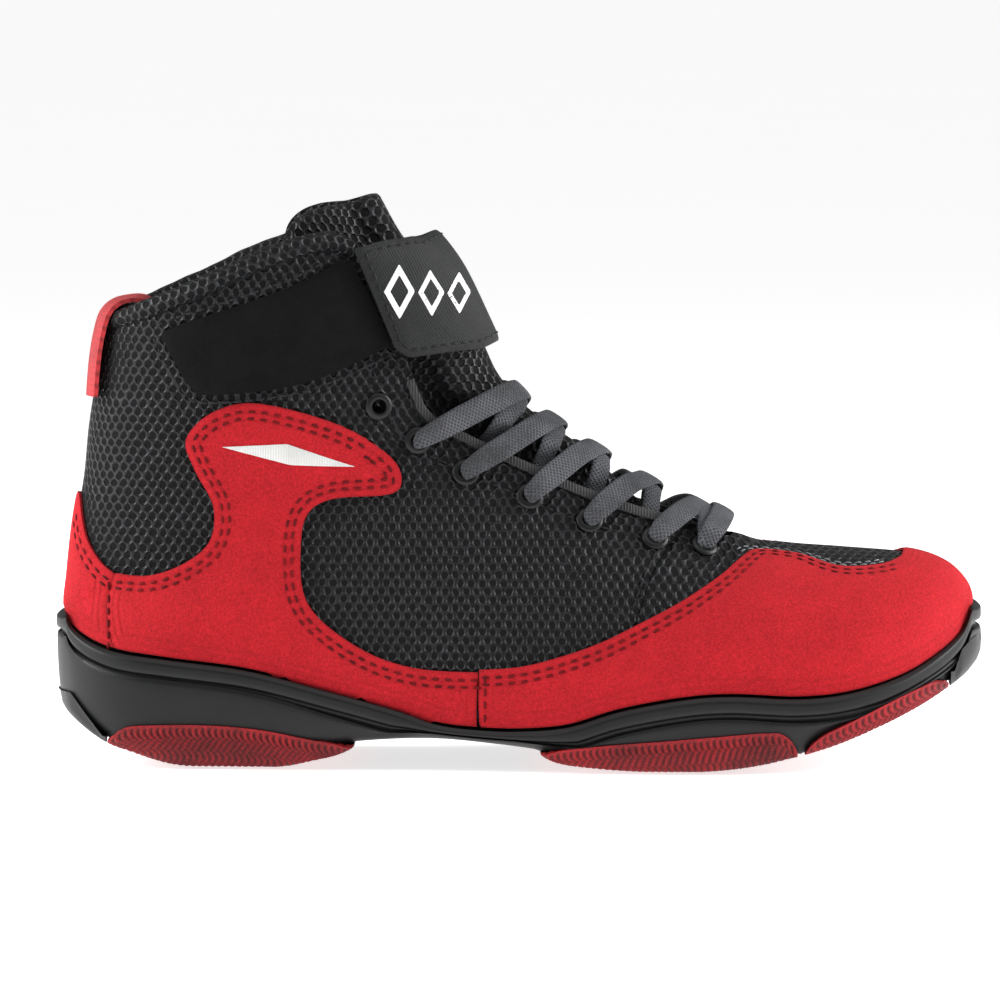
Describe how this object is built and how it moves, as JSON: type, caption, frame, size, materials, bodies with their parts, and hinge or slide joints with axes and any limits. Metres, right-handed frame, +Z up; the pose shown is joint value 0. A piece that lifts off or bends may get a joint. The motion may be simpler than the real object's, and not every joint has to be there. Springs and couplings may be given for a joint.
{
  "type": "boxing boot",
  "caption": "Right-foot high-top boxing boot of black spacer mesh with red suede overlays, a hook-and-loop ankle strap, criss-cross lace and a rubber cup sole with ribbed red treads.",
  "frame": {"origin": "centre of the bounding box at ground level", "axes": "+X from the heel to the toe, -Y to the outer (lateral) side, +Z up"},
  "size_m": [0.2916, 0.1068, 0.1772],
  "materials": {
    "suede": "napped microfibre suede",
    "mesh": "open knitted spacer mesh",
    "velour": "black brushed suede",
    "strap": "smooth coated webbing with folded hems",
    "rubber": "matte moulded rubber",
    "red_rubber": "matte moulded rubber",
    "foam": "closed-cell foam",
    "board": "fibre board",
    "lining": "brushed knit",
    "binding": "folded woven tape",
    "ring": "black enamelled",
    "lace": "flat woven polyester"
  },
  "bodies": {
    "boot": {"binding_inner": "binding", "binding_outer": "binding", "collar_roll": "mesh", "cupsole": "rubber", "eyelet_inner_1": "ring", "eyelet_inner_2": "ring", "eyelet_inner_3": "ring", "eyelet_inner_4": "ring", "eyelet_inner_5": "ring", "eyelet_inner_6": "ring", "eyelet_inner_7": "ring", "eyelet_outer_1": "ring", "eyelet_outer_2": "ring", "eyelet_outer_3": "ring", "eyelet_outer_4": "ring", "eyelet_outer_5": "ring", "eyelet_outer_6": "ring", "eyelet_outer_7": "ring", "heel_bumper": "rubber", "heel_counter": "board", "insole_board": "board", "lace": "lace", "landing_patch": "velour", "midsole_core": "foam", "overlay_heel": "suede", "overlay_inner": "suede", "overlay_outer": "suede", "overlay_toe": "suede", "pull_tab": "suede", "quarter_foam": "foam", "quarter_lining": "lining", "quarter_mesh_inner": "mesh", "quarter_mesh_outer": "mesh", "sockliner": "lining", "strap_anchor": "velour", "toe_bumper": "rubber", "toe_puff": "board", "tread_forefoot": "red_rubber", "tread_heel": "red_rubber", "tread_toe": "red_rubber", "vamp_lining": "lining", "vamp_mesh": "mesh"},
    "strap": {"strap": "strap", "strap_hook": "lining"},
    "tongue": {"tongue": "mesh"}
  },
  "joints": [
    {"name": "strap_open", "type": "hinge", "parent": "boot", "child": "strap", "pos_m": [-0.0445, -0.0302, 0.1458], "axis": [0.3699, 0.091, -0.9246], "range_deg": [0, 100]},
    {"name": "tongue_press", "type": "hinge", "parent": "boot", "child": "tongue", "pos_m": [0.074, 0, 0.062], "axis": [0, -1, 0], "range_deg": [0, 5], "stiffness_Nm_per_rad": 1}
  ]
}
